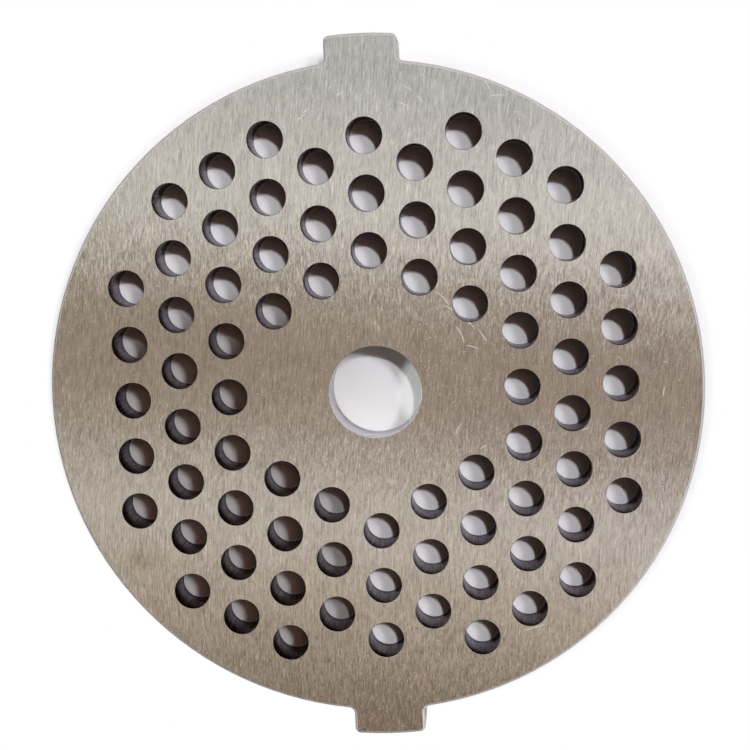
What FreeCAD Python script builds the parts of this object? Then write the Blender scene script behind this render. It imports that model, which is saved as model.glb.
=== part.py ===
import FreeCAD, Part
import math
import os

from FreeCAD import Vector

# Perforated plate of a small household meat grinder, for fine mince.
# It is one flat piece of stainless steel: a disc with a central bore for the
# worm's spindle, a field of straight mincing holes, and two lugs that stop it
# turning in the grinder's head.
#
# Frame: +Z up, the plate lies flat. The origin is the centre of the bore on
# the lower face. The lugs point along +Y and -Y.

# Driving dimensions, in millimetres
disc_diameter = 54.5
plate_thickness = 3.5

lug_width = 6.0
lug_reach = 2.15           # how far a lug's tip stands out past the disc's edge
lug_corner_radius = 0.5
lug_root_radius = 0.55

bore_diameter = 7.7

hole_diameter = 3.0
hole_web = 1.7             # metal left between two neighbouring holes
hub_land = 4.8             # least metal between the bore and any hole
rim_land = 2.5             # least metal between any hole and the disc's edge

edge_break = 0.2           # bevel round the outline of the upper face

# Sizes that follow from them
disc_radius = disc_diameter / 2
lug_tip_radius = disc_radius + lug_reach
bore_radius = bore_diameter / 2
hole_radius = hole_diameter / 2
hole_pitch = hole_diameter + hole_web
inner_limit = bore_radius + hub_land + hole_radius
outer_limit = disc_radius - rim_land - hole_radius


def polar(radius, angle):
    """Point at a radius and an angle in radians round the plate's axis."""
    return Vector(radius * math.cos(angle), radius * math.sin(angle), 0)


def arc_about(centre, start, end):
    """Short arc from start to end about a centre."""
    radius = (start - centre).Length
    towards_middle = (start + end) / 2 - centre
    middle = centre + towards_middle.normalize() * radius
    return Part.Arc(start, middle, end).toShape()


def lug_edges():
    """Outline of the upper lug, from its right root to its left root.

    Each root is an arc that is tangent to the disc and to the lug's flank, and
    each corner is an arc that is tangent to the flank and to the tip. The tip
    itself is an arc about the plate's axis.
    """
    flank = lug_width / 2

    root_centre_x = flank + lug_root_radius
    root_reach = disc_radius + lug_root_radius
    root_centre = Vector(root_centre_x, math.sqrt(root_reach ** 2 - root_centre_x ** 2), 0)
    root_on_disc = root_centre * (disc_radius / root_reach)
    root_on_flank = Vector(flank, root_centre.y, 0)

    corner_centre_x = flank - lug_corner_radius
    corner_reach = lug_tip_radius - lug_corner_radius
    corner_centre = Vector(corner_centre_x, math.sqrt(corner_reach ** 2 - corner_centre_x ** 2), 0)
    corner_on_flank = Vector(flank, corner_centre.y, 0)
    corner_on_tip = corner_centre * (lug_tip_radius / corner_reach)

    right = [
        arc_about(root_centre, root_on_disc, root_on_flank),
        Part.makeLine(root_on_flank, corner_on_flank),
        arc_about(corner_centre, corner_on_flank, corner_on_tip),
    ]
    left = [edge.mirror(Vector(0, 0, 0), Vector(1, 0, 0)) for edge in right]
    tip_left = Vector(-corner_on_tip.x, corner_on_tip.y, 0)
    tip = Part.Arc(corner_on_tip, Vector(0, lug_tip_radius, 0), tip_left).toShape()
    root_angle = math.atan2(root_on_disc.y, root_on_disc.x)
    return right + [tip] + left, root_angle


def plate_outline():
    """Closed outline: two round sides of the disc and the two lugs."""
    upper_lug, root_angle = lug_edges()
    lower_lug = [edge.rotated(Vector(0, 0, 0), Vector(0, 0, 1), 180) for edge in upper_lug]
    right_side = Part.Arc(
        polar(disc_radius, -root_angle),
        polar(disc_radius, 0),
        polar(disc_radius, root_angle),
    ).toShape()
    left_side = right_side.rotated(Vector(0, 0, 0), Vector(0, 0, 1), 180)
    edges = upper_lug + lower_lug + [right_side, left_side]
    return Part.Wire(Part.__sortEdges__(edges))


def hole_centres():
    """Centres of the mincing holes.

    They lie on a triangular grid whose columns run parallel to the line
    through the two lugs. The plate's axis is midway between two neighbours of
    the middle column, so even columns sit half a pitch off the cross line and
    odd columns sit on it. The holes fill the ring between the two lands.
    """
    column_spacing = hole_pitch * math.sqrt(3) / 2
    columns = int(outer_limit / column_spacing)
    rows = int(outer_limit / hole_pitch) + 1
    centres = []
    for column in range(-columns, columns + 1):
        offset = 0 if column % 2 else hole_pitch / 2
        for row in range(-rows, rows + 1):
            centre = Vector(column * column_spacing, row * hole_pitch + offset, 0)
            if inner_limit < centre.Length < outer_limit:
                centres.append(centre)
    return centres


def through_hole(radius, centre):
    """Round tool that runs past both faces of the plate."""
    overrun = plate_thickness / 2
    base = centre - Vector(0, 0, overrun)
    return Part.makeCylinder(radius, plate_thickness + 2 * overrun, base)


def grinder_plate():
    """The whole plate as one solid.

    The blank's upper rim is rolled over a little where it was punched. The
    lower rim and the rims of all the holes are left sharp by the grinding.
    """
    blank = Part.Face(plate_outline()).extrude(Vector(0, 0, plate_thickness))
    upper_rim = [edge for edge in blank.Edges if edge.BoundBox.ZMin > plate_thickness / 2]
    blank = blank.makeChamfer(edge_break, upper_rim)

    centres = hole_centres()
    tools = [through_hole(hole_radius, centre) for centre in centres]
    tools.append(through_hole(bore_radius, Vector(0, 0, 0)))
    plate = blank.cut(Part.makeCompound(tools))
    return plate.Solids[0], centres


os.makedirs("parts", exist_ok=True)

plate, centres = grinder_plate()
plate.exportStep("parts/grinder_plate.step")

print("mincing holes:", len(centres))
print("hole pitch: %.2f mm" % hole_pitch)
print("plate box: %.2f x %.2f x %.2f mm" % (
    plate.BoundBox.XLength, plate.BoundBox.YLength, plate.BoundBox.ZLength))
print("volume: %.1f mm3, valid: %s" % (plate.Volume, plate.isValid()))
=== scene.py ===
# %% [markdown]
# A meat grinder plate on a pale table
#
# The real object is one flat piece of stainless steel with a bore, a field of
# mincing holes and two lugs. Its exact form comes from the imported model, so
# this lesson is about the rest: a camera that stands where the photographer
# stood, a table, light that a ground plate can answer, and the steel itself.

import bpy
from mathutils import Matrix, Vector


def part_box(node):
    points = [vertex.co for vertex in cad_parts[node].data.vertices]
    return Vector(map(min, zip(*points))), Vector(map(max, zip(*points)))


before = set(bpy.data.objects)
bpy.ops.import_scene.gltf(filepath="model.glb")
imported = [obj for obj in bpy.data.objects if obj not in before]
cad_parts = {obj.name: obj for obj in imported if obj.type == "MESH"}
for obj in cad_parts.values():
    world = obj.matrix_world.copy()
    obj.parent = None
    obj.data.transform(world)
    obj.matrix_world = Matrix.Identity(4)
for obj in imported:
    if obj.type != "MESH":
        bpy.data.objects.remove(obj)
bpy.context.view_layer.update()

# %% [markdown]
# Sizes in millimetres
#
# Blender counts in metres here, but a grinder plate is thought of in
# millimetres. Scaling the scene up would do as well, only then it would no
# longer fit the model. So every length is written in millimetres, times MM.

# %% Name the plate and its sizes
import math

import bmesh
import bpy
from mathutils import Matrix, Vector

MM = 0.001
PLATE = "grinder_plate"

low_corner, high_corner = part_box(PLATE)
plate_thickness = high_corner.z - low_corner.z
print("plate is %.2f mm thick" % (plate_thickness / MM))

# %% [markdown]
# The camera
#
# The photo was taken from about 11 cm, a little above and to the right of the
# bore, and then cropped off centre. A longer lens from further away would
# frame the plate just as well, but the walls of the holes would show wrongly:
# how much wall each hole shows depends on where the lens was.

# %% Stand the camera over the plate
LENS_PLACE = Vector((9.11, 14.51, 112.96)) * MM
AIM_POINT = Vector((4.43, 4.06, 3.50)) * MM
CAMERA_ROLL = math.radians(-2.37)
LENS_MM = 63.9
CROP_SHIFT = (-0.0687, -0.0446)
NEAREST_SEEN = 5 * MM

camera_data = bpy.data.cameras.new("camera")
camera_data.lens = LENS_MM
camera_data.shift_x, camera_data.shift_y = CROP_SHIFT
camera_data.clip_start = NEAREST_SEEN
camera = bpy.data.objects.new("camera", camera_data)
bpy.context.scene.collection.objects.link(camera)

backward = (LENS_PLACE - AIM_POINT).normalized()
right = Vector((0, 1, 0)).cross(backward).normalized()
up = backward.cross(right)
turn = Matrix((right, up, backward)).transposed() @ Matrix.Rotation(CAMERA_ROLL, 3, "Z")
camera.matrix_world = Matrix.Translation(LENS_PLACE) @ turn.to_4x4()
bpy.context.scene.camera = camera
bpy.context.scene.view_settings.view_transform = "Standard"
print("camera tilt from straight down: %.1f degrees" % math.degrees(backward.angle(Vector((0, 0, 1)))))

# %% [markdown]
# The table
#
# The plate lies on a smooth, pale surface. A thick slab with rounded edges
# would be more of a table, but only its top is ever seen, so one big face is
# enough. It sits a hair below the plate, because two faces at the same
# height would fight in the render.

# %% Lay the table
TABLE_HALF_WIDTH = 1.5
TABLE_GAP = 0.02 * MM

table_mesh = bpy.data.meshes.new("table")
table_bmesh = bmesh.new()
bmesh.ops.create_grid(table_bmesh, x_segments=1, y_segments=1, size=TABLE_HALF_WIDTH)
bmesh.ops.translate(table_bmesh, verts=table_bmesh.verts, vec=(0, 0, low_corner.z - TABLE_GAP))
table_bmesh.to_mesh(table_mesh)
table_bmesh.free()
table = bpy.data.objects.new("table", table_mesh)
bpy.context.scene.collection.objects.link(table)
print("table: %.1f m wide, %.2f mm under the plate" % (2 * TABLE_HALF_WIDTH, TABLE_GAP / MM))

# %% [markdown]
# Two helpers for paint
#
# A material is a tree of nodes. It could be drawn by hand in the editor, but
# in a script it is a list of three moves: add a node, set it, plug it in. One
# helper makes these moves. The other turns a hex colour, as a painter picks
# it from a screen, into the linear light that the nodes count with.

# %% Helpers for colours and nodes
def linear(hex_colour):
    """Turns an sRGB hex colour, such as C8C0B4, into linear red, green, blue and alpha."""
    channels = [int(hex_colour[start:start + 2], 16) / 255 for start in (0, 2, 4)]
    return [c / 12.92 if c <= 0.04045 else ((c + 0.055) / 1.055) ** 2.4 for c in channels] + [1.0]


def add(tree, kind, values=None, links=None, **settings):
    """Adds a node: settings are its own choices, values fill its sockets, links plug outputs in."""
    node = tree.nodes.new(kind)
    for name, value in settings.items():
        setattr(node, name, value)
    for socket, value in (values or {}).items():
        node.inputs[socket].default_value = value
    for socket, source in (links or {}).items():
        tree.links.new(source, node.inputs[socket])
    return node


print("middle grey, 808080, is %.3f in linear light" % linear("808080")[0])

# %% [markdown]
# The table's paint
#
# It is matt white laminate, pressed smooth, and it looks faintly lavender
# where it shows through the holes. A millimetre or so out from the plate the
# photo is plain white. More light on the table would do that too, but it
# would spoil the steel. Instead the paint itself turns to white there, for
# the camera alone, and keeps the plate's shadow further in.

# %% Paint the upper side
WHITE_FROM, WHITE_AT = 27.3 * MM, 28.7 * MM

laminate = bpy.data.materials.new("matt white laminate")
laminate.use_nodes = True
tree = laminate.node_tree
tree.nodes.clear()
matt_surface = add(tree, "ShaderNodeBsdfPrincipled", values={
    "Base Color": linear("EAEDF4"),
    "Roughness": 0.6,
    "Specular IOR Level": 0.2,
})
table_place = add(tree, "ShaderNodeTexCoord").outputs["Object"]
out_from_axis = add(tree, "ShaderNodeVectorMath", operation="LENGTH", links={0: table_place})
outside = add(tree, "ShaderNodeMapRange", values={"From Min": WHITE_FROM, "From Max": WHITE_AT},
              links={"Value": out_from_axis.outputs["Value"]})
ray = add(tree, "ShaderNodeLightPath")
white_here = add(tree, "ShaderNodeMath", operation="MULTIPLY",
                 links={0: ray.outputs["Is Camera Ray"], 1: outside.outputs["Result"]})
white = add(tree, "ShaderNodeEmission", values={"Color": linear("FFFFFF"), "Strength": 1.0})
upper_side = add(tree, "ShaderNodeMixShader", links={
    0: white_here.outputs[0],
    1: matt_surface.outputs["BSDF"],
    2: white.outputs["Emission"],
})
print("table turns white from %.1f to %.1f mm out" % (WHITE_FROM / MM, WHITE_AT / MM))

# %% [markdown]
# The table from below
#
# The plate's underside should be worth a look as well. The table could be
# hidden for such views, but then they would show another scene than this
# one. So the table is clear from below. The underside also mirrors whatever
# it touches, which is the table's unlit top, so mirror rays that end within
# about a tenth of a millimetre pass through too.

# %% Clear the lower side
TOUCHING = 0.12 * MM

clear = add(tree, "ShaderNodeBsdfTransparent")
table_side = add(tree, "ShaderNodeNewGeometry").outputs["Backfacing"]
close_by = add(tree, "ShaderNodeMath", operation="LESS_THAN", values={1: TOUCHING},
               links={0: ray.outputs["Ray Length"]})
mirrored = add(tree, "ShaderNodeMath", operation="MULTIPLY",
               links={0: ray.outputs["Is Glossy Ray"], 1: close_by.outputs[0]})
see_through = add(tree, "ShaderNodeMath", operation="MAXIMUM",
                  links={0: table_side, 1: mirrored.outputs[0]})
one_sided = add(tree, "ShaderNodeMixShader", links={
    0: see_through.outputs[0],
    1: upper_side.outputs["Shader"],
    2: clear.outputs["BSDF"],
})
add(tree, "ShaderNodeOutputMaterial", links={"Surface": one_sided.outputs["Shader"]})
table_mesh.materials.append(laminate)
print("table paint: %d nodes" % len(tree.nodes))

# %% [markdown]
# The light
#
# Every hole works as a pinhole: the patches of light on the table under it
# tell where the lamps are. Two small lamps stand to the upper right, one
# lower than the other, both in one wide warm glow. Area lamps at a measured
# distance could do this, but the patches are alike in all the holes, so the
# lamps are far off, and suns with a small spread do it with one number each.
# The glow is part of the room, and the steel shows the room as it is painted
# further down, so the glow itself isn't mirrored.

# %% Hang the lamps
LAMPS = {
    "upper lamp": {
        "direction": (0.25, 0.35, 1.0),
        "strength": 1.32,
        "spread": 3.5,
        "colour": "FFFFFF",
        "mirrored": True,
    },
    "lower lamp": {
        "direction": (0.56, 0.30, 1.0),
        "strength": 1.08,
        "spread": 8,
        "colour": "FFFFFF",
        "mirrored": True,
    },
    "warm glow": {
        "direction": (0.42, 0.32, 1.0),
        "strength": 0.30,
        "spread": 38,
        "colour": "FFBC94",
        "mirrored": False,
    },
}

for name, lamp in LAMPS.items():
    sun = bpy.data.lights.new(name, "SUN")
    sun.energy = lamp["strength"]
    sun.angle = math.radians(lamp["spread"])
    sun.color = linear(lamp["colour"])[:3]
    hung = bpy.data.objects.new(name, sun)
    hung.rotation_mode = "QUATERNION"
    hung.rotation_quaternion = Vector(lamp["direction"]).to_track_quat("Z", "Y")
    hung.visible_glossy = lamp["mirrored"]
    bpy.context.scene.collection.objects.link(hung)
print("lamps:", ", ".join(LAMPS))

# %% [markdown]
# Light from the bore's wall
#
# In the photo the right side of the bore isn't dark like that of the small
# holes. The bore is reamed bright, and its wall throws lamplight back onto
# the table there. Traced light could find that by itself, but only with a
# great many samples. A small spot lamp, low at the left, stands in for it: it
# reaches only the part of the table that the wall would light.

# %% Light the table inside the bore
BORE_SPOT = Vector((2.8, -0.3, 0)) * MM
SPOT_DIRECTION = Vector((-1.6, 0.15, 1.0)).normalized()
SPOT_DISTANCE = 100 * MM
SPOT_SIZE = 6 * MM
SPOT_CONE = math.radians(5.5)
SPOT_FADE = 0.4
# The light that reaches the table, on the scale of the lamps' strengths.
SPOT_LEVEL = 4.3

spot = bpy.data.lights.new("light from the bore's wall", "SPOT")
spot.energy = SPOT_LEVEL * 4 * math.pi * SPOT_DISTANCE ** 2
spot.spot_size = SPOT_CONE
spot.spot_blend = SPOT_FADE
spot.shadow_soft_size = SPOT_SIZE
spot.color = linear("FCFFF2")[:3]
spot_lamp = bpy.data.objects.new("light from the bore's wall", spot)
spot_lamp.location = BORE_SPOT + SPOT_DIRECTION * SPOT_DISTANCE
spot_lamp.rotation_mode = "QUATERNION"
spot_lamp.rotation_quaternion = SPOT_DIRECTION.to_track_quat("Z", "Y")
spot_lamp.visible_glossy = False
bpy.context.scene.collection.objects.link(spot_lamp)
print("bore lamp lights a spot %.1f mm wide" % (2 * SPOT_DISTANCE * math.tan(SPOT_CONE / 2) / MM))

# %% [markdown]
# The shading card
#
# The lower left holes miss the patch of light from the upper lamp, because
# the camera itself stood between them and that lamp. A model of the camera
# could cast that shadow. A card does it with one face: a disc, cut straight
# at the right and at the top, at the height of the lens. It casts its shadow
# and is otherwise hidden.

# %% Cut the shading card
CARD_CENTRE = Vector((28, 39.2, 112)) * MM
CARD_RADIUS = 29 * MM
CARD_SEGMENTS = 64
CARD_CUTS = [
    ((25 * MM, 0, 0), (1, 0, 0)),
    ((0, 46 * MM, 0), (0, 1, 0)),
]

card_mesh = bpy.data.meshes.new("shading card")
card_bmesh = bmesh.new()
bmesh.ops.create_circle(card_bmesh, cap_ends=True, segments=CARD_SEGMENTS, radius=CARD_RADIUS,
                        matrix=Matrix.Translation(CARD_CENTRE))
for cut_point, cut_away in CARD_CUTS:
    card_parts = card_bmesh.verts[:] + card_bmesh.edges[:] + card_bmesh.faces[:]
    bmesh.ops.bisect_plane(card_bmesh, geom=card_parts, plane_co=cut_point, plane_no=cut_away,
                           clear_outer=True)
print("card: %d corners" % len(card_bmesh.verts))
card_bmesh.to_mesh(card_mesh)
card_bmesh.free()
card = bpy.data.objects.new("shading card", card_mesh)
bpy.context.scene.collection.objects.link(card)
card.visible_camera = False
card.visible_diffuse = False
card.visible_glossy = False
card.visible_transmission = False

# %% [markdown]
# The room overhead
#
# A ground plate is half a mirror. It smears what it mirrors across the grain
# but hardly along it, so the room shows in it as soft bands that cross the
# plate. Walls and lamps could be modelled, or a picture of a room wrapped
# round. Painted bands need neither, and each has its place from the plate
# itself: the slope at which the view meets it, where 0 is straight overhead
# and 1 would be 45 degrees towards the upper lug.

# %% Choose the bands
GRAIN_ANGLE = math.radians(-6.5)
ALONG = Vector((-math.sin(GRAIN_ANGLE), math.cos(GRAIN_ANGLE), 0))
ACROSS = Vector((math.cos(GRAIN_ANGLE), math.sin(GRAIN_ANGLE), 0))

ROOM_LOW, ROOM_HIGH = -0.5, 0.3
ROOM_BANDS = [
    (-0.50, "766554"),
    (-0.40, "907B66"),
    (-0.36, "BCAC9B"),
    (-0.32, "D8CABC"),
    (-0.28, "C9BBAB"),
    (-0.253, "FFFCF6"),
    (-0.228, "FFFEF9"),
    (-0.212, "B9ACA1"),
    (-0.17, "AE9D8E"),
    (-0.13, "A38F7E"),
    (-0.09, "A39382"),
    (-0.065, "B4A797"),
    (-0.035, "F2EEE6"),
    (-0.008, "FFFFFC"),
    (0.03, "EEEDEA"),
    (0.10, "D2D2D4"),
    (0.30, "BEBEC2"),
]


def paint_ramp(ramp, stops):
    """Sets a colour ramp's stops from pairs of a place, from 0 to 1, and a hex colour."""
    elements = ramp.color_ramp.elements
    while len(elements) < len(stops):
        elements.new(1.0)
    for element, (stop, colour) in zip(elements, stops):
        element.position = stop
        element.color = linear(colour)


print("room: %d bands, grain turned %.1f degrees" % (len(ROOM_BANDS), math.degrees(GRAIN_ANGLE)))

# %% Paint the bands
# Near the horizon the slope would run away, so the height is kept above this.
LEAST_HEIGHT = 0.1

world = bpy.data.worlds.new("room")
bpy.context.scene.world = world
world.use_nodes = True
tree = world.node_tree
tree.nodes.clear()
direction = add(tree, "ShaderNodeTexCoord").outputs["Generated"]
height = add(tree, "ShaderNodeSeparateXYZ", links={0: direction}).outputs["Z"]
safe_height = add(tree, "ShaderNodeMath", operation="MAXIMUM", values={1: LEAST_HEIGHT},
                  links={0: height}).outputs[0]
reaches = {}
slopes = {}
for name, axis in (("along", ALONG), ("across", ACROSS)):
    reaches[name] = add(tree, "ShaderNodeVectorMath", operation="DOT_PRODUCT", values={1: axis},
                        links={0: direction}).outputs["Value"]
    slopes[name] = add(tree, "ShaderNodeMath", operation="DIVIDE",
                       links={0: reaches[name], 1: safe_height}).outputs[0]
band_place = add(tree, "ShaderNodeMapRange", values={"From Min": ROOM_LOW, "From Max": ROOM_HIGH},
                 links={"Value": slopes["along"]})
bands = add(tree, "ShaderNodeValToRGB", links={"Fac": band_place.outputs["Result"]})
paint_ramp(bands, [((slope - ROOM_LOW) / (ROOM_HIGH - ROOM_LOW), colour) for slope, colour in ROOM_BANDS])
print("ramp: %d stops" % len(bands.color_ramp.elements))

# %% [markdown]
# The room's sides
#
# The steel is a little yellower and darker at the left than at the right,
# because the two sides of the room differ. A second set of bands could show
# that, but one tint that runs from side to side is enough. Lower down, where
# only slanting views reach, the bands give way to plain grey walls.

# %% Tint the sides and add the walls
SIDE_SLOPE = 0.6
LEFT_TINT = (0.89, 0.89, 0.79, 1)
RIGHT_TINT = (1.16, 1.10, 1.22, 1)
CEILING_EDGE, WALL_EDGE = 0.8, 0.55
WALL_COLOUR = "AAA8A6"

side_place = add(tree, "ShaderNodeMapRange", values={"From Min": -SIDE_SLOPE, "From Max": SIDE_SLOPE},
                 links={"Value": slopes["across"]})
side_tint = add(tree, "ShaderNodeMixRGB", values={1: LEFT_TINT, 2: RIGHT_TINT},
                links={0: side_place.outputs["Result"]})
overhead = add(tree, "ShaderNodeMixRGB", blend_type="MULTIPLY", values={0: 1.0},
               links={1: bands.outputs["Color"], 2: side_tint.outputs["Color"]})
towards_walls = add(tree, "ShaderNodeMapRange", values={"From Min": CEILING_EDGE, "From Max": WALL_EDGE},
                    links={"Value": height})
mirrored_room = add(tree, "ShaderNodeMixRGB", values={2: linear(WALL_COLOUR)},
                    links={0: towards_walls.outputs["Result"], 1: overhead.outputs["Color"]})
print("walls begin %.0f degrees off the zenith" % math.degrees(math.acos(CEILING_EDGE)))

# %% [markdown]
# The shade in the holes
#
# Straight overhead and beyond the lower lug the real room was dark and brown,
# which is why the holes' upper right sides are almost black. The bands are
# too bright for that, because they had to be painted for what dull steel
# gives back of them. So the light that falls on the table comes from a
# second, darker painting of the same room, and Light Path tells the two kinds
# of ray apart. The camera itself sees neither, but plain white.

# %% Paint the shade
SHADE_BY_HEIGHT = [(0.42, "F2F1F4"), (0.60, "8A7C72"), (0.80, "482E1E"), (1.0, "382114")]
DARK_END, LIGHT_END = -0.55, 0.45
DARK_END_LEVEL = 0.04
# A ray has met no matt surface yet if its diffuse depth is below this.
NO_DIFFUSE_BOUNCE = 0.5

shade = add(tree, "ShaderNodeValToRGB", links={"Fac": height})
paint_ramp(shade, SHADE_BY_HEIGHT)
lug_to_lug = add(tree, "ShaderNodeMapRange", links={"Value": reaches["along"]},
                 values={"From Min": DARK_END, "From Max": LIGHT_END, "To Min": DARK_END_LEVEL})
shaded_room = add(tree, "ShaderNodeMixRGB", blend_type="MULTIPLY", values={0: 1.0},
                  links={1: shade.outputs["Color"], 2: lug_to_lug.outputs["Result"]})
path = add(tree, "ShaderNodeLightPath")
first_mirror = add(tree, "ShaderNodeMath", operation="LESS_THAN", values={1: NO_DIFFUSE_BOUNCE},
                   links={0: path.outputs["Diffuse Depth"]})
mirror_ray = add(tree, "ShaderNodeMath", operation="MULTIPLY",
                 links={0: path.outputs["Is Glossy Ray"], 1: first_mirror.outputs[0]})
room_colour = add(tree, "ShaderNodeMixRGB", links={
    0: mirror_ray.outputs[0],
    1: shaded_room.outputs["Color"],
    2: mirrored_room.outputs["Color"],
})
room = add(tree, "ShaderNodeBackground", values={"Strength": 1.0},
           links={"Color": room_colour.outputs["Color"]})
backdrop = add(tree, "ShaderNodeBackground", values={"Color": linear("FFFFFF"), "Strength": 1.0})
seen = add(tree, "ShaderNodeMixShader", links={
    0: path.outputs["Is Camera Ray"],
    1: room.outputs["Background"],
    2: backdrop.outputs["Background"],
})
add(tree, "ShaderNodeOutputWorld", links={"Surface": seen.outputs["Shader"]})
print("room paint: %d nodes" % len(tree.nodes))

# %% [markdown]
# The steel
#
# Ground stainless steel: after punching, both faces are run under a belt
# that leaves fine parallel lines from lug to lug. To the eye the lines give
# short crisp dashes of light and dark. They could be cut into the mesh, but
# at 0.02 mm each that would take millions of faces. Noise that is stretched
# along the grain gives the same dashes, with no end to them and no seam.

# %% Lay the grain
# The belt's real lines are about 0.02 mm wide. They are drawn coarser, as
# dashes that the picture can still show. Each is a width and a length in mm.
GRAIN_SIZES = {"short": (0.13, 0.80), "long": (0.14, 3.2), "cloudy": (2.2, 3.5), "grooves": (0.12, 1.5)}
LONG_SHARE = 0.42
CLOUDY_SHARE = 0.14
GRAIN_TONES = [(0.33, "B1AEA7"), (0.44, "C8C6C0"), (0.50, "D3D1CB"), (0.58, "DDDBD5"), (0.68, "F8F5ED")]

steel = bpy.data.materials.new("ground stainless steel")
steel.use_nodes = True
tree = steel.node_tree
tree.nodes.clear()
place = add(tree, "ShaderNodeTexCoord").outputs["Object"]
grain_frame = add(tree, "ShaderNodeMapping", values={"Rotation": (0, 0, -GRAIN_ANGLE)},
                  links={"Vector": place}).outputs["Vector"]
grain = {}
for name, (width, length) in GRAIN_SIZES.items():
    stretch = add(tree, "ShaderNodeVectorMath", operation="MULTIPLY", links={0: grain_frame},
                  values={1: (1 / (width * MM), 1 / (length * MM), 1 / (length * MM))})
    grain[name] = add(tree, "ShaderNodeTexNoise", values={"Scale": 1.0, "Detail": 2.0, "Roughness": 0.6},
                      links={"Vector": stretch.outputs["Vector"]}).outputs["Fac"]
dashes = add(tree, "ShaderNodeMixRGB", values={0: LONG_SHARE}, links={1: grain["short"], 2: grain["long"]})
mottled = add(tree, "ShaderNodeMixRGB", values={0: CLOUDY_SHARE},
              links={1: dashes.outputs["Color"], 2: grain["cloudy"]})
grain_tone = add(tree, "ShaderNodeValToRGB", links={"Fac": mottled.outputs["Color"]})
paint_ramp(grain_tone, GRAIN_TONES)
print("grain: %d noises, the finest %.2f mm wide" % (len(grain), min(GRAIN_SIZES.values())[0]))

# %% [markdown]
# Scratches and specks
#
# The plate was handled and washed. Short pale scuffs sit round the upper part
# of the rim and by the right edge, and a few hair scratches curl beside the
# bore. Grit left specks. A scratch breaks the mirror, so it scatters light
# instead of reflecting it. Scratches could come from a stretched noise too,
# but noise gives worms all over. Each one here is a short part of a circle,
# laid where the photo has its scuffs, and only the specks are noise.

# %% List the scratches
# Each scratch: a point it runs through, its heading in degrees, the radius of
# its curl and its length, in millimetres.
SCRATCHES = [
    ((-5.1, 22.8), 40, 6, 1.0),
    ((-4.7, 23.3), 35, 5, 0.6),
    ((-1.8, 24.6), 25, 5, 0.7),
    ((-2.6, 25.1), 60, 5, 0.5),
    ((3.2, 25.9), 75, 4, 0.6),
    ((3.8, 24.8), -35, 3, 0.9),
    ((4.7, 23.9), -55, 3, 0.8),
    ((3.4, 23.5), -30, 4, 0.9),
    ((10.2, 24.8), -60, 2, 1.0),
    ((10.9, 23.9), 2, 8, 1.4),
    ((18.6, 20.1), 50, 5, 0.8),
    ((19.2, 19.4), 70, 5, 0.5),
    ((6.0, 7.6), -50, 3, 1.8),
    ((6.7, 6.6), -35, 4, 2.2),
    ((7.3, 4.6), -65, 3, 1.9),
    ((7.9, 5.6), -40, 2.4, 2.0),
    ((8.7, 6.9), -15, 3, 1.6),
    ((9.1, 4.4), -60, 3, 1.4),
    ((8.2, 3.5), -20, 4, 1.2),
    ((6.7, -3.4), 70, 2, 1.0),
    ((8.8, -4.9), 30, 4, 0.6),
    ((17.3, -3.7), 20, 4, 0.7),
    ((23.8, -0.8), 80, 6, 0.9),
    ((-2.4, 14.1), 38, 22, 2.6),
    ((12.6, -20.4), 15, 20, 2.2),
    ((-13.5, -3.4), 62, 18, 1.8),
]
print("%d scratches, the longest %.1f mm" % (len(SCRATCHES), max(scratch[3] for scratch in SCRATCHES)))

# %% Draw one scratch
SCRATCH_WIDTH = 0.036 * MM
# A line is full within the first of these, and gone beyond the second.
LINE_CORE, LINE_EDGE = 0.4 * SCRATCH_WIDTH, 1.6 * SCRATCH_WIDTH

flat_place = add(tree, "ShaderNodeVectorMath", operation="MULTIPLY", values={1: (1, 1, 0)},
                 links={0: place}).outputs["Vector"]


def away_from(point):
    """The way from a point on the face, given in millimetres, to the place that is painted."""
    return add(tree, "ShaderNodeVectorMath", operation="SUBTRACT", values={1: Vector((*point, 0)) * MM},
               links={0: flat_place}).outputs["Vector"]


def draw_scratch(point, heading, curl, length):
    """A hair scratch, drawn as a short part of a circle: 1 on the line and 0 beside it."""
    side = Vector((-math.sin(math.radians(heading)), math.cos(math.radians(heading)), 0))
    from_centre = away_from((point[0] - side.x * curl, point[1] - side.y * curl))
    reach = add(tree, "ShaderNodeVectorMath", operation="LENGTH", links={0: from_centre})
    off_line = add(tree, "ShaderNodeMath", operation="SUBTRACT", values={1: curl * MM},
                   links={0: reach.outputs["Value"]})
    distance = add(tree, "ShaderNodeMath", operation="ABSOLUTE", links={0: off_line.outputs[0]})
    line = add(tree, "ShaderNodeMapRange", values={"From Min": LINE_EDGE, "From Max": LINE_CORE},
               links={"Value": distance.outputs[0]})
    pointing = add(tree, "ShaderNodeVectorMath", operation="NORMALIZE", links={0: from_centre})
    facing = add(tree, "ShaderNodeVectorMath", operation="DOT_PRODUCT", values={1: side},
                 links={0: pointing.outputs["Vector"]})
    half_turn = length / 2 / curl
    part = add(tree, "ShaderNodeMapRange", links={"Value": facing.outputs["Value"]},
               values={"From Min": math.cos(half_turn), "From Max": math.cos(half_turn / 2)})
    return add(tree, "ShaderNodeMath", operation="MULTIPLY",
               links={0: line.outputs["Result"], 1: part.outputs["Result"]}).outputs[0]


print("a scratch is %.3f mm wide" % (SCRATCH_WIDTH / MM))

# %% Put the wear together
SPECK_SIZE = 0.16 * MM
SPECKS_FROM, SPECKS_AT = 0.69, 0.77
WEAR_STRENGTH = 0.85

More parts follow.
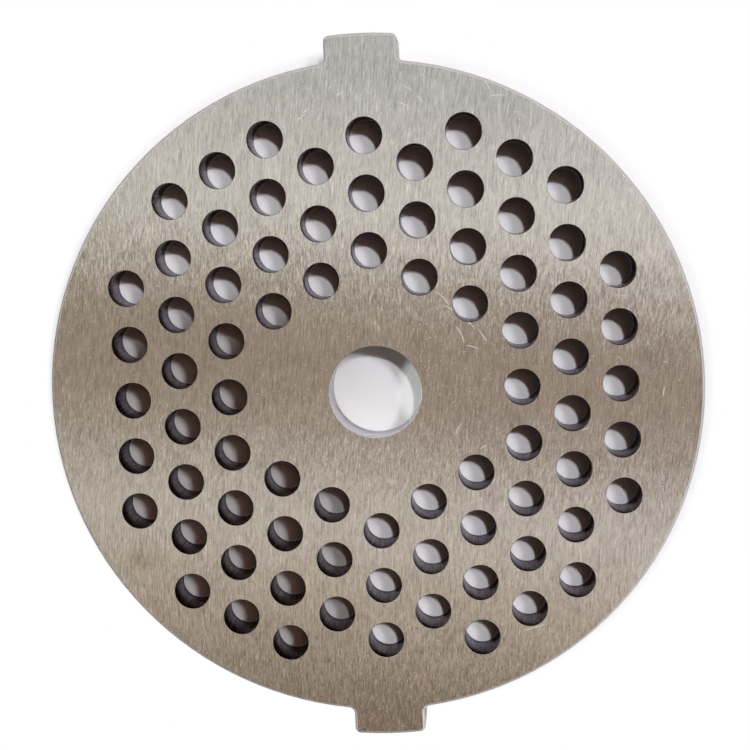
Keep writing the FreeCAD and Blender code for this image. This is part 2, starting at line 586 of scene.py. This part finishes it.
specks = add(tree, "ShaderNodeTexNoise", values={"Scale": 1 / SPECK_SIZE, "Detail": 1.0},
             links={"Vector": place}).outputs["Fac"]
wear = add(tree, "ShaderNodeMapRange", values={"From Min": SPECKS_FROM, "From Max": SPECKS_AT},
           links={"Value": specks}).outputs["Result"]
for scratch in SCRATCHES:
    wear = add(tree, "ShaderNodeMath", operation="MAXIMUM",
               links={0: wear, 1: draw_scratch(*scratch)}).outputs[0]
wear = add(tree, "ShaderNodeMath", operation="MULTIPLY", values={1: WEAR_STRENGTH},
           links={0: wear}).outputs[0]
worn_tone = add(tree, "ShaderNodeMixRGB", values={2: linear("F0F1EE")},
                links={0: wear, 1: grain_tone.outputs["Color"]})
print("wear at its strongest: %.2f" % WEAR_STRENGTH)

# %% [markdown]
# The stain
#
# One faint brown spot sits at the lower left, where a drop dried. A round
# spot with an even edge would look printed. A drop shrinks as it dries and
# leaves a ragged edge, so the distance from its middle is shaken by a fine
# noise before it is cut off.

# %% Leave the stain
STAIN_PLACE = (-20.4, -13.7)
STAIN_ACROSS, STAIN_ALONG = 1.5 * MM, 1.1 * MM
RAGGED_SIZE = 0.35 * MM
RAGGED_REACH = 1.6
STAIN_EDGE, STAIN_MIDDLE = 0.3, -0.8
STAIN_STRENGTH = 0.45

ragged = add(tree, "ShaderNodeTexNoise", values={"Scale": 1 / RAGGED_SIZE, "Detail": 3.0, "Roughness": 0.7},
             links={"Vector": place}).outputs["Fac"]
from_stain = add(tree, "ShaderNodeVectorMath", operation="MULTIPLY", links={0: away_from(STAIN_PLACE)},
                 values={1: (1 / STAIN_ACROSS, 1 / STAIN_ALONG, 0)})
stain_reach = add(tree, "ShaderNodeVectorMath", operation="LENGTH", links={0: from_stain.outputs["Vector"]})
shaken_reach = add(tree, "ShaderNodeMath", operation="MULTIPLY_ADD", values={1: -RAGGED_REACH},
                   links={0: ragged, 2: stain_reach.outputs["Value"]})
stained = add(tree, "ShaderNodeMapRange", links={"Value": shaken_reach.outputs[0]},
              values={"From Min": STAIN_EDGE, "From Max": STAIN_MIDDLE, "To Max": STAIN_STRENGTH})
face_tone = add(tree, "ShaderNodeMixRGB", values={2: linear("9A7A58")},
                links={0: stained.outputs["Result"], 1: worn_tone.outputs["Color"]}).outputs["Color"]
print("stain: about %.1f mm out from its middle" % (STAIN_ACROSS / MM))

# %% [markdown]
# Walls, rims and faces
#
# The plate has one material but four finishes: ground faces, hole walls, a
# reamed bore and a tumbled outline. Four materials on chosen faces would do,
# but the mesh comes from the model and stays as it is. The finish can be told
# from the surface itself: how far it leans, and how far from the axis it is.

# %% Tell walls, rims and faces apart
# The upright part of a surface's normal is 1 on a face and 0 on a wall. The
# broken edges lie between, and end just short of 1.
FACE_FROM, FACE_AT = 0.3, 0.8
FLAT_FROM, FLAT_AT = 0.9995, 0.99
# The bore ends inside the first of these radii, the holes inside the second.
BORE_ZONE, HOLE_ZONE = 5 * MM, 26 * MM
RADIUS_SPAN = 30 * MM

normal = add(tree, "ShaderNodeNewGeometry").outputs["Normal"]
lean = add(tree, "ShaderNodeSeparateXYZ", links={0: normal}).outputs["Z"]
flatness = add(tree, "ShaderNodeMath", operation="ABSOLUTE", links={0: lean}).outputs[0]
on_face = add(tree, "ShaderNodeMapRange", values={"From Min": FACE_FROM, "From Max": FACE_AT},
              links={"Value": flatness}).outputs["Result"]
off_flat = add(tree, "ShaderNodeMapRange", values={"From Min": FLAT_FROM, "From Max": FLAT_AT},
               links={"Value": flatness}).outputs["Result"]
on_rim = add(tree, "ShaderNodeMath", operation="MULTIPLY", links={0: off_flat, 1: on_face}).outputs[0]
radius = add(tree, "ShaderNodeVectorMath", operation="LENGTH", links={0: flat_place})
radius_place = add(tree, "ShaderNodeMath", operation="DIVIDE", values={1: RADIUS_SPAN},
                   links={0: radius.outputs["Value"]}).outputs[0]
bore_end, hole_end = BORE_ZONE / RADIUS_SPAN, HOLE_ZONE / RADIUS_SPAN
is_hole = add(tree, "ShaderNodeValToRGB", links={"Fac": radius_place})
is_hole.color_ramp.interpolation = "CONSTANT"
paint_ramp(is_hole, [(0.0, "000000"), (bore_end, "FFFFFF"), (hole_end, "000000")])
is_outline = add(tree, "ShaderNodeMath", operation="GREATER_THAN", values={1: hole_end},
                 links={0: radius_place}).outputs[0]
print("bore inside %.0f mm, holes inside %.0f mm" % (BORE_ZONE / MM, HOLE_ZONE / MM))

# %% [markdown]
# The walls of the holes
#
# A punch leaves two zones on a wall: a burnished land above, with fine
# upright streaks, and a rough band below it, where the slug tore away and
# the wall stands back. The border between them wavers. The bore was reamed
# after that, so its wall is smooth and bright. Modelled burrs would show the
# tear and the shade in it. Here a darker tone along the height stands in for
# both: partly the torn steel's own colour, partly painted shade.

# %% Streak the walls
STREAK_WIDTH, STREAK_LENGTH = 0.14 * MM, 2.4 * MM
PITS_FROM, PITS_AT = 0.36, 0.26

streak_place = add(tree, "ShaderNodeVectorMath", operation="MULTIPLY", links={0: place},
                   values={1: (1 / STREAK_WIDTH, 1 / STREAK_WIDTH, 1 / STREAK_LENGTH)})
streaks = add(tree, "ShaderNodeTexNoise", values={"Scale": 1.0, "Detail": 2.0, "Roughness": 0.6},
              links={"Vector": streak_place.outputs["Vector"]}).outputs["Fac"]
streak_tone = add(tree, "ShaderNodeValToRGB", links={"Fac": streaks})
paint_ramp(streak_tone, [(0.30, "6A6A70"), (0.46, "B4B4B8"), (0.60, "D8D8DC"), (0.72, "FFFFFF")])
pits = add(tree, "ShaderNodeMapRange", values={"From Min": PITS_FROM, "From Max": PITS_AT},
           links={"Value": specks})
pitted = add(tree, "ShaderNodeMixRGB", values={2: linear("38383C")},
             links={0: pits.outputs["Result"], 1: streak_tone.outputs["Color"]})
print("streaks: %.2f mm wide" % (STREAK_WIDTH / MM))

# %% Darken the lower part of the walls: torn steel and painted shade
# The lowest part of each hole wall is darkened. This is partly the torn steel's own tone and partly painted
# shade of the band that stands back.
TORN_AND_SHADED_HEIGHT = 0.62 * MM
TORN_AND_SHADED_FADE = 0.06 * MM
TORN_AND_SHADED_WAVER = 0.5 * MM

height_on_wall = add(tree, "ShaderNodeSeparateXYZ", links={0: place}).outputs["Z"]
wavering = add(tree, "ShaderNodeMath", operation="MULTIPLY_ADD",
               values={1: TORN_AND_SHADED_WAVER, 2: -TORN_AND_SHADED_WAVER / 2}, links={0: streaks})
torn_and_shaded_height = add(tree, "ShaderNodeMath", operation="ADD", links={0: height_on_wall, 1: wavering.outputs[0]})
torn_and_shaded = add(tree, "ShaderNodeMapRange", links={"Value": torn_and_shaded_height.outputs[0]},
           values={"From Min": TORN_AND_SHADED_HEIGHT + TORN_AND_SHADED_FADE, "From Max": TORN_AND_SHADED_HEIGHT})
# 77747A darkens the torn band: its own tone and painted shade together.
punched_and_shaded = add(tree, "ShaderNodeMixRGB", blend_type="MULTIPLY", values={2: linear("77747A")},
              links={0: torn_and_shaded.outputs["Result"], 1: pitted.outputs["Color"]})
# The bore is bright, the holes are brownish and the outline is pale.
wall_tint = add(tree, "ShaderNodeValToRGB", links={"Fac": radius_place})
wall_tint.color_ramp.interpolation = "CONSTANT"
paint_ramp(wall_tint, [(0.0, "E8E5DE"), (bore_end, "A68F80"), (hole_end, "C6C2BC")])
wall_tone = add(tree, "ShaderNodeMixRGB", blend_type="MULTIPLY", links={
    0: is_hole.outputs["Color"],
    1: wall_tint.outputs["Color"],
    2: punched_and_shaded.outputs["Color"],
}).outputs["Color"]
print("torn zone: the lowest %.2f of %.2f mm" % (TORN_AND_SHADED_HEIGHT / MM, plate_thickness / MM))

# %% [markdown]
# The colour of the steel
#
# Rims catch the eye most, because they are neither face nor wall. Those of
# the holes are rounded by wear and look a shade darker. The outline was
# tumbled before the faces were ground, so its rim is pale and dull. All the
# tones could go through one long mask, but laid over each other in this order
# they stay easy to follow: wall, face, rim.

# %% Lay the tones over each other
body_tone = add(tree, "ShaderNodeMixRGB", links={0: on_face, 1: wall_tone, 2: face_tone})
rim_tone = add(tree, "ShaderNodeMixRGB", values={1: linear("CBCBCA"), 2: linear("8E8A84")},
               links={0: is_hole.outputs["Color"]})
steel_tone = add(tree, "ShaderNodeMixRGB", links={
    0: on_rim,
    1: body_tone.outputs["Color"],
    2: rim_tone.outputs["Color"],
})
off_face = add(tree, "ShaderNodeMath", operation="SUBTRACT", values={0: 1.0}, links={1: on_face})
wall_or_rim = add(tree, "ShaderNodeMath", operation="MAXIMUM", links={0: off_face.outputs[0], 1: on_rim})
tumbled = add(tree, "ShaderNodeMath", operation="MULTIPLY",
              links={0: wall_or_rim.outputs[0], 1: is_outline}).outputs[0]
print("steel so far: %d nodes" % len(tree.nodes))

# %% [markdown]
# The shine of the steel
#
# Steel is a metal through and through, so Metallic is 1 and the IOR stays at
# its default. Scratches and the tumbled outline are still steel, but they
# scatter light so widely that they look matt, and a lower Metallic, which
# mixes in plain diffuse light, comes closest to that. The grain's lines
# spread the light across them, not along them: that is what Anisotropic with
# a tangent across the grain does. A fine bump could spread the light as well,
# but would need a much finer picture.

# %% Give each finish its shine
ROUGHNESS = {"face": 0.24, "scratch": 0.36, "wall": 0.42, "hole rim": 0.6, "outline": 0.95}
METALLIC_CLEAN, METALLIC_ROUGH = 1.0, 0.3


def grey(value):
    """The same number in red, green and blue, for a colour socket that carries a number."""
    return (value, value, value, 1)


scattering = add(tree, "ShaderNodeMath", operation="MAXIMUM", links={0: wear, 1: tumbled})
metallic = add(tree, "ShaderNodeMapRange", values={"To Min": METALLIC_CLEAN, "To Max": METALLIC_ROUGH},
               links={"Value": scattering.outputs[0]})
face_roughness = add(tree, "ShaderNodeMapRange", links={"Value": wear},
                     values={"To Min": ROUGHNESS["face"], "To Max": ROUGHNESS["scratch"]})
body_roughness = add(tree, "ShaderNodeMixRGB", values={1: grey(ROUGHNESS["wall"])},
                     links={0: on_face, 2: face_roughness.outputs["Result"]})
rim_roughness = add(tree, "ShaderNodeMixRGB", values={2: grey(ROUGHNESS["hole rim"])},
                    links={0: on_rim, 1: body_roughness.outputs["Color"]})
roughness = add(tree, "ShaderNodeMixRGB", values={2: grey(ROUGHNESS["outline"])},
                links={0: tumbled, 1: rim_roughness.outputs["Color"]})
print("roughness:", ROUGHNESS)

# %% Put the steel together
# The real grooves are shallower. They are drawn deep enough to sparkle at
# the width that the picture can show.
GROOVE_DEPTH = 0.036 * MM

relief = add(tree, "ShaderNodeBump", values={"Distance": GROOVE_DEPTH},
             links={"Strength": on_face, "Height": grain["grooves"]})
around = add(tree, "ShaderNodeVectorMath", operation="CROSS_PRODUCT", values={1: (0, 0, 1)},
             links={0: normal})
tangent = add(tree, "ShaderNodeVectorMath", operation="MULTIPLY_ADD", values={1: ACROSS},
              links={0: on_face, 2: around.outputs["Vector"]})
skin = add(tree, "ShaderNodeBsdfPrincipled", values={
    "Anisotropic": 1.0,
    "Specular Tint": (0.76, 0.77, 0.87, 1.0),
}, links={
    "Metallic": metallic.outputs["Result"],
    "Base Color": steel_tone.outputs["Color"],
    "Roughness": roughness.outputs["Color"],
    "Normal": relief.outputs["Normal"],
    "Tangent": tangent.outputs["Vector"],
})
add(tree, "ShaderNodeOutputMaterial", links={"Surface": skin.outputs["BSDF"]})

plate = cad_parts[PLATE]
plate.data.materials.clear()
plate.data.materials.append(steel)
print("steel: %d nodes" % len(tree.nodes))

# %% [markdown]
# Broken edges
#
# No real edge is razor sharp: grinding and use leave a tiny round of a few
# hundredths of a millimetre, and it draws a thin line round each hole. It
# could be part of the model, but there it would only slow the checks. A Bevel
# modifier adds it here. The model's mesh is loose triangles, so a Weld comes
# first, or the Bevel would find no two faces that share an edge.

# %% Break the edges
WELD_REACH = 0.001 * MM
EDGE_BREAK = 0.035 * MM
EDGE_SEGMENTS = 2
SHARP_FROM = math.radians(35)

weld = plate.modifiers.new("join the facets", "WELD")
weld.merge_threshold = WELD_REACH
edge = plate.modifiers.new("break the edges", "BEVEL")
edge.width = EDGE_BREAK
edge.segments = EDGE_SEGMENTS
edge.limit_method = "ANGLE"
edge.angle_limit = SHARP_FROM
edge.use_clamp_overlap = False
edge.harden_normals = False
print("edges broken by %.3f mm" % (EDGE_BREAK / MM))
